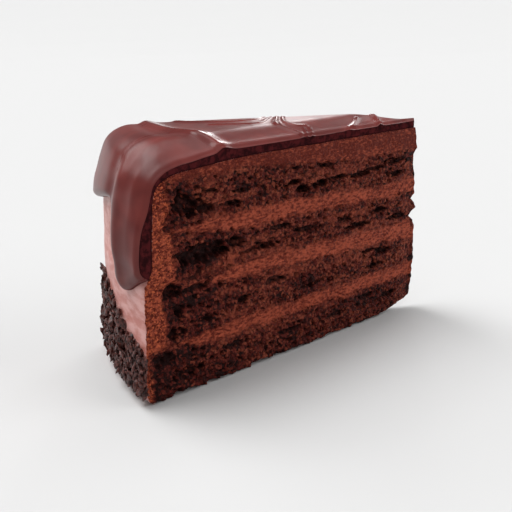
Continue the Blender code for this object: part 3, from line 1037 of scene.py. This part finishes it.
@dataclass
class Glaze:
    """The poured glaze: over the top, round the shoulder, and down the rim in a drip and an apron.

    near and far hold its thickness in mm, one value for each row of the coat's outline, and belly is
    what the drip adds. ends are its lower edge as (mm along the rim, height). Its lower edge is rounded
    by edge_round mm on the drip and the apron, and sinks by lip_sink mm at the cuts: on the rim, on
    top, and towards the far cut.
    """

    columns: int = 300
    spans: int = 96
    rows: int = 6
    crowding: float = 0.92
    past_top: int = 130
    section_length: float = 213.0
    tip_gap: float = 1.9
    lift: float = 0.02
    edge_round: tuple = (4.6, 3.2)
    lip_sink: tuple = (1.1, 1.2, 0.7)
    lip_width: float = 2.4
    near: tuple = (3.9, 3.9, 4.0, 4.1, 4.4, 4.1, 3.6, 3.3, 2.9, 2.4, 2.1, 2.9, 5.0, 6.1, 5.5, 4.0, 2.5, 2.0)
    far: tuple = (4.4, 5.2, 5.2, 5.2, 5.2, 5.2, 5.5, 6.2, 6.2, 4.9, 4.0, 4.2, 3.9, 3.6, 3.4, 3.2, 3.0, 3.0)
    belly: tuple = (0, 0, 0, 0, 0, 0.2, 0.5, 1.0, 1.6, 2.2, 2.5, 2.0, 0.9, 0.3, 0, 0, 0, 0)
    ends: tuple = (
        (0, 44.0), (2, 43.0), (5, 41.2), (8, 39.2), (11, 37.8), (13.5, 37.3), (16.5, 39.2), (19, 43.8),
        (21, 50.0), (22.5, 57.0), (24.5, 62.3), (27, 64.2), (31, 64.4), (40, 62.8), (50, 60.6),
        (56.2, 59.2),
    )
    ripples: tuple = (
        Ripple(
            ((112, 44), (110.8, 34), (109.8, 26), (108.2, 19), (106, 13), (104, 8), (102.2, 4), (101, 0)),
            2.2, 1.25, 4.0,
        ),
        Ripple(((104, 46), (97.8, 37), (91, 31), (84, 26), (76, 24), (70, 24), (65, 28)), 1.1, 0.45),
        Ripple(((92, 24), (87, 21), (81.5, 18), (76, 15.6), (72.6, 15.8), (67, 22), (62, 27)), 0.9, 0.4),
        Ripple(((60, 27), (64, 19), (68, 13), (69.7, 9), (68, 6), (66, 3.6), (64.6, 1)), 1.3, 0.5),
        Ripple(((59, 23), (62.6, 16), (64.8, 11), (64, 8.4), (61.6, 7.2), (58, 6.4)), 1.0, 0.4),
        Ripple(((60.6, 5), (62, 2), (63.6, -1)), 0.9, 0.4),
        Ripple(((57.6, 5), (59.6, 1.6), (61, -1)), 0.9, 0.4),
        Ripple(((30, 7), (33, 4.4), (38, 1.4), (43, -1)), 1.1, 0.45),
        Ripple(((21.4, 9), (20.8, 6), (21.6, 3), (23, 0)), 1.6, 0.8),
    )

    def end(self, arc: np.ndarray) -> np.ndarray:
        """Reads the glaze's lower edge.

        Args:
            arc: distances along the rim from the near cut.

        Returns:
            The edge's heights.
        """
        points = np.array(self.ends)
        fine = curve(self.ends, np.linspace(0, len(points) - 1, 200))
        return np.interp(arc, fine[:, 0], fine[:, 1])

    def thickness(self, at: np.ndarray, turn: np.ndarray) -> np.ndarray:
        """Reads how thick the glaze lies on the coat, before its edges are rounded.

        Args:
            at: how far along the coat's section, as a row number of its outline.
            turn: from the near cut to the far one.

        Returns:
            The thicknesses.
        """
        arc = turn * WEDGE.arc
        last = len(self.near) - 1
        rows = [curve(np.array(side)[:, None], np.minimum(at, last))[:, 0] for side in (self.near, self.far)]
        top = smooth((COAT.shoulder + 2.5 - at) / 4.5)
        r = COAT.read(at, turn)[:, 0]
        on_top = smooth(turn * WEDGE.angle * r / COAT.rise_reach)
        on_wall = smooth((arc - 13) / 11)
        thick = mix(rows[0], rows[1], mix(on_wall, on_top, top))
        wall = smooth((at - COAT.shoulder) / 3)
        ridge = 0.9 * bell(arc, 14.5, 3.2) - 0.3 * bell(arc, 6, 4.5)
        belly = curve(np.array(self.belly)[:, None], np.minimum(at, last))[:, 0]
        thick += belly * smooth(arc / 7) * smooth((24 - arc) / 8)
        valley = 0.9 * bell(arc, 25, 3.6) * smooth((16 - at) / 4)
        return thick + wall * (ridge - valley)

    def ripple(self, r: np.ndarray, across: np.ndarray) -> tuple[np.ndarray, np.ndarray]:
        """Reads the folds on top.

        Args:
            r: distances from the axis.
            across: distances from the near cut.

        Returns:
            The folds' heights, and how much of each place belongs to a fold, from 0 to 1.
        """
        height, share = np.zeros(len(r)), np.zeros(len(r))
        for fold in self.ripples:
            path = curve(fold.path, np.linspace(0, len(fold.path) - 1, 60))
            gaps = np.hypot(r[:, None] - path[None, :, 0], across[:, None] - path[None, :, 1])
            tip_side = r < path[gaps.argmin(1), 0]
            width = np.where(tip_side, fold.tip_width or fold.width, fold.width)
            rise = np.exp(-((gaps.min(1) / width) ** 2) * 1.4)
            height = np.maximum(height, fold.height * rise)
            share = np.maximum(share, smooth(rise * 2.5 - 0.2))
        return height, share

    def build(self, gloss: Material, knife: Material) -> Object:
        """Builds the glaze.

        Args:
            gloss: the material of its poured face.
            knife: the material of its cut.

        Returns:
            The finished piece.
        """
        box, unit = block(self.columns, self.spans, self.rows)
        turn = unit[:, 1]
        arc = turn * WEDGE.arc
        # Where each column ends: at the row of the coat's wall that is as high as the glaze's lower edge
        share, row = FrostingCoat().spread()
        wall = row[self.past_top :]
        end_row = np.interp(-self.end(arc), -curve(COAT.near, wall)[:, 1], wall)
        end_share = np.interp(end_row, row, share)
        at = np.interp(unit[:, 0] ** self.crowding * end_share, share, row)
        base = COAT.read(at, turn)
        out = mix(COAT.outward(at, turn), np.array([1.0, 0.0]), smooth((at - 10) / 2)[:, None])
        thick = self.thickness(at, turn)
        # The lower edge is rounded off like a drop
        left = (end_share - np.interp(at, row, share)) * self.section_length
        drip_round, apron_round = self.edge_round
        round_off = mix(apron_round, drip_round, smooth((22 - arc) / 4))
        thick *= np.sqrt(np.clip(1 - np.clip(1 - left / round_off, 0, 1) ** 2, 0, 1))
        top = smooth((COAT.shoulder + 1 - at) / 3)
        height, fold = self.ripple(base[:, 0], turn * WEDGE.angle * base[:, 0])
        thick += top * height
        # The poured face sinks towards the cuts, so that the edge there is soft
        lip = np.minimum(turn, 1 - turn) * WEDGE.angle * np.maximum(base[:, 0], 8)
        far = smooth(turn * 2 - 0.5)
        rim_sink, top_sink, far_sink = self.lip_sink
        sink = mix(mix(rim_sink, top_sink, top), far_sink, far)
        thick -= unit[:, 2] * sink * (1 - smooth(lip / self.lip_width)) ** 2
        section = base + out * (thick * unit[:, 2] + self.lift)[:, None]
        r, z = section[:, 0], section[:, 1]
        r = np.where(at < 1, r + self.tip_gap * (1 - at), r)
        places = WEDGE.place(r, turn, z)
        for side in Side:
            there = np.abs(turn - side.value) < AT_END
            place = np.stack([r[there], z[there], 0 * r[there] + CUT.apart * side.value], -1)
            depth = 0.5 * grain(place, 9, seed=4) + 0.05 * grain(place, 2.5, seed=61)
            places[there] -= (depth * smooth(r[there] / 12))[:, None] * WEDGE.outward(side)
        piece = finish_mesh("poured_glaze", box, places)
        # edge: how near a point lies to the glaze's inner or outer face, for the painted shade along the cut
        stain(piece, "edge", smooth(np.abs(unit[:, 2] - 0.5) * 5 - 1.5))
        stain(piece, "fold", top * fold)
        dress(piece, gloss, knife, unit, (1, 0), (1, 1), (0, 0))
        settle(piece, "glaze", "glaze")
        return piece


@dataclass
class Crumbs:
    """Small broken pieces, scattered by a rule with its own seed.

    On the rim they lie from lowest up to tops, given as (mm along the rim, height).
    """

    seed: int = 7
    lowest: float = 3.4
    tops: tuple = ((0, 17), (4, 20), (12, 22), (20, 27), (30, 31), (56, 34))
    sharp_edge: float = 50.0

    def lump(self, shape: bmesh.types.BMesh, size: Vector, turned: Euler, place: Vector, number: int) -> None:
        """Adds one crumb.

        Args:
            shape: the bmesh that all crumbs share.
            size: half of its length, width and thickness in mm.
            turned: how it lies.
            place: its middle in mm.
            number: which crumb it is, for its own dents.
        """
        made = bmesh.ops.create_icosphere(shape, subdivisions=2, radius=1)["verts"]
        matrix = Matrix.Translation(place) @ turned.to_matrix().to_4x4() @ Matrix.Diagonal((*size, 1))
        for vert in made:
            dent = noise.noise(vert.co * 1.6 + Vector((number, 0, 0)))
            dent += 0.5 * noise.noise(vert.co * 4 + Vector((0, number, 0)))
            vert.co *= 1 + 0.5 * dent
        bmesh.ops.transform(shape, matrix=matrix, verts=made)

    def on_rim(self, finish: Material, count: int = 520) -> Object:
        """Builds the flakes on the lower rim.

        Args:
            finish: their material.
            count: how many there are.

        Returns:
            The finished piece.
        """
        draw = random.Random(self.seed)
        shape = bmesh.new()
        for number in range(count):
            turn = draw.random()
            arc = turn * WEDGE.arc
            top = float(np.interp(arc, *np.array(self.tops).T))
            z = self.lowest + (top - self.lowest) * draw.random() ** 0.9
            # Fewer towards their top edge, which is ragged
            if draw.random() < 0.35 * (z / top) ** 3:
                continue
            at = float(np.interp(-z, -np.array(COAT.near)[:, 1], np.arange(len(COAT.near))))
            r = float(COAT.read(np.array([at]), np.array([turn]))[0, 0])
            length = draw.uniform(0.9, 2.3)
            size = Vector((length * draw.uniform(0.22, 0.45), length * draw.uniform(0.4, 0.65), length))
            proud = draw.uniform(0.0, 2.4) * (1 - 0.4 * z / top) * float(smooth(z / 8))
            angle = (turn - 0.5) * WEDGE.angle
            lie = Euler((draw.gauss(0.15, 0.45), draw.gauss(0, 0.35), draw.gauss(0, 0.5) - angle))
            place = Vector(WEDGE.place(np.array([r + proud]), np.array([turn]), np.array([z]))[0])
            self.lump(shape, size, lie, place, number)
        piece = finish_mesh("rim_crumbs", shape)
        piece.data.set_sharp_from_angle(angle=math.radians(self.sharp_edge))
        piece.data.materials.append(finish)
        settle(piece, "sponge", "frosting")
        return piece


@dataclass
class LooseCrumbs(Crumbs):
    """Sponge crumbs that the knife left standing on the cut faces."""

    count: int = 340
    reach: tuple = (5, 127)
    heights: tuple = (2.5, 73)

    def build(self, finish: Material) -> Object:
        """Builds the crumbs of both cut faces.

        Args:
            finish: their material.

        Returns:
            The finished piece.
        """
        draw = np.random.default_rng(self.seed)
        shape = bmesh.new()
        tones = []
        for side in Side:
            r, z = draw.uniform(*self.reach, self.count), draw.uniform(*self.heights, self.count)
            kept = CUT.cream(r, z, side) < draw.uniform(-2, 0.6, self.count)
            r, z = r[kept], z[kept]
            depth = CUT.read(r, z, side)["depth"]
            flat = WEDGE.place(r, np.full(len(r), float(side.value)), z)
            places = flat - depth[:, None] * WEDGE.outward(side)
            for number, place in enumerate(places.tolist()):
                size = Vector(draw.uniform(0.3, 0.85, 3).tolist())
                self.lump(shape, size, Euler(draw.uniform(-3, 3, 3).tolist()), Vector(place), number)
                tones.append(draw.uniform(0.3, 0.8))
        points = len(shape.verts) // len(tones)
        piece = finish_mesh("loose_crumbs", shape)
        stain(piece, "tone", np.repeat(tones, points))
        piece.data.materials.append(finish)
        settle(piece, "sponge", "sponge_2", "sponge_3", "sponge_4")
        return piece


# Surroundings


@dataclass(frozen=True)
class Glow:
    """A soft light from far away, as wide as a softbox that fills an angle of the sky.

    Azimuth 0 looks from -Y and 90 from +X. Width, azimuth and elevation are in degrees, and strength
    is in watts on each square metre that faces the light.
    """

    name: str
    azimuth: float
    elevation: float
    width: float
    strength: float

    def place(self) -> None:
        """Adds the light."""
        lamp = bpy.data.lights.new(self.name, "SUN")
        lamp.energy = self.strength
        lamp.angle = math.radians(self.width)
        az, el = math.radians(self.azimuth), math.radians(self.elevation)
        out = Vector((math.sin(az) * math.cos(el), -math.cos(az) * math.cos(el), math.sin(el)))
        body = bpy.data.objects.new(self.name, lamp)
        body.rotation_euler = out.to_track_quat("Z", "Y").to_euler()
        bpy.context.scene.collection.objects.link(body)


@dataclass(frozen=True)
class Studio:
    """A plain pale floor, soft lights and the photograph's camera."""

    lights: tuple = (
        Glow("overhead", -74, 75, 62, 1.1),
        Glow("key", -137, 64, 40, 2.3),
        Glow("left_back", -158, 37, 34, 0.9),
        Glow("right_back", 132, 64, 30, 0.5),
        Glow("right", 118, 28, 24, 0.35),
        Glow("fold_low", 149, 12, 4, 0.025),
        Glow("fold_middle", 147, 17, 7, 0.09),
        Glow("fold_high", 144, 24, 7, 0.1),
        Glow("front", 54, 25, 50, 1.4),
    )
    floor_reach: float = 9.0
    floor_faces: int = 36
    flat_reach: float = 2.0
    floor_rise: float = 0.05
    floor_drop: float = 0.0003
    paper: str = "#C1C1C1"
    walls: str = "#F4F4F4"
    wall_light: float = 0.12
    camera_place: tuple = (-133.43, -232.94, 123.91)
    camera_right: tuple = (0.87739, -0.47975, -0.00586)
    camera_up: tuple = (0.15639, 0.27441, 0.94881)
    camera_ahead: tuple = (0.45358, 0.83339, -0.31579)
    lens: float = 51.3
    sensor: float = 36.0
    nearest: float = 0.01

    def build(self) -> None:
        """Adds the camera, the floor and the lights."""
        self.hang_camera()
        self.lay_floor()
        self.light_room()
        bpy.context.scene.view_settings.view_transform = "Standard"

    def hang_camera(self) -> None:
        """Puts the camera where the photograph's stood, in the cake's own mm."""
        lens = bpy.data.cameras.new("camera")
        lens.lens = self.lens
        lens.sensor_width = self.sensor
        lens.clip_start = self.nearest
        camera = bpy.data.objects.new("camera", lens)
        axes = Matrix((self.camera_right, self.camera_up, [-c for c in self.camera_ahead])).transposed()
        camera.matrix_world = Matrix.Translation(Vector(self.camera_place) * MM) @ axes.to_4x4()
        bpy.context.scene.collection.objects.link(camera)
        bpy.context.scene.camera = camera

    def lay_floor(self) -> None:
        """Lays a sheet of paper that is flat under the cake and curves up far away."""
        shape = bmesh.new()
        faces = self.floor_faces
        bmesh.ops.create_grid(shape, x_segments=faces, y_segments=faces, size=self.floor_reach)
        for vert in shape.verts:
            vert.co.z = self.floor_rise * max(0.0, vert.co.length - self.flat_reach) ** 1.5
        mesh = bpy.data.meshes.new("floor")
        shape.to_mesh(mesh)
        shape.free()
        floor = bpy.data.objects.new("floor", mesh)
        floor.location.z = -self.floor_drop
        bpy.context.scene.collection.objects.link(floor)
        paper = bpy.data.materials.new("pale_paper")
        paper.use_nodes = True
        shader = paper.node_tree.nodes["Principled BSDF"]
        shader.inputs["Base Color"].default_value = linear(self.paper)
        shader.inputs["Roughness"].default_value = 0.9
        shader.inputs["Specular IOR Level"].default_value = 0.0
        mesh.materials.append(paper)

    def light_room(self) -> None:
        """Adds the lights, and the faint light of the room's walls."""
        world = bpy.data.worlds.new("studio")
        world.use_nodes = True
        background = world.node_tree.nodes["Background"]
        background.inputs["Color"].default_value = linear(self.walls)
        background.inputs["Strength"].default_value = self.wall_light
        bpy.context.scene.world = world
        for light in self.lights:
            light.place()


def main() -> None:
    """Builds the slice from its base up, then its surroundings."""
    sponge = CutCake("chocolate_sponge").make()
    cream = CutCake("chocolate_cream").make()
    for index in range(4):
        low = 2 * index - 1
        rows = 48 if index else 42
        Layer(f"sponge_crumb_{index + 1}", f"sponge_{index + 1}", low, low + 1, rows).build(sponge, "sponge")
    for index in range(3):
        low = 2 * index
        Layer(f"filling_cream_{index + 1}", f"filling_{index + 1}", low, low + 1, 16).build(cream, "filling")
    FrostingCoat().build(ButtercreamSkin("buttercream_skin_painted_sheen").make(), CutCake("buttercream_cut").make())
    Glaze().build(Ganache("poured_ganache").make(), GanacheCut("ganache_cut").make())
    LooseCrumbs(seed=11).build(sponge)
    Crumbs().on_rim(ChocolateFlake("chocolate_flakes").make())
    Studio().build()


if __name__ == "__main__":
    main()
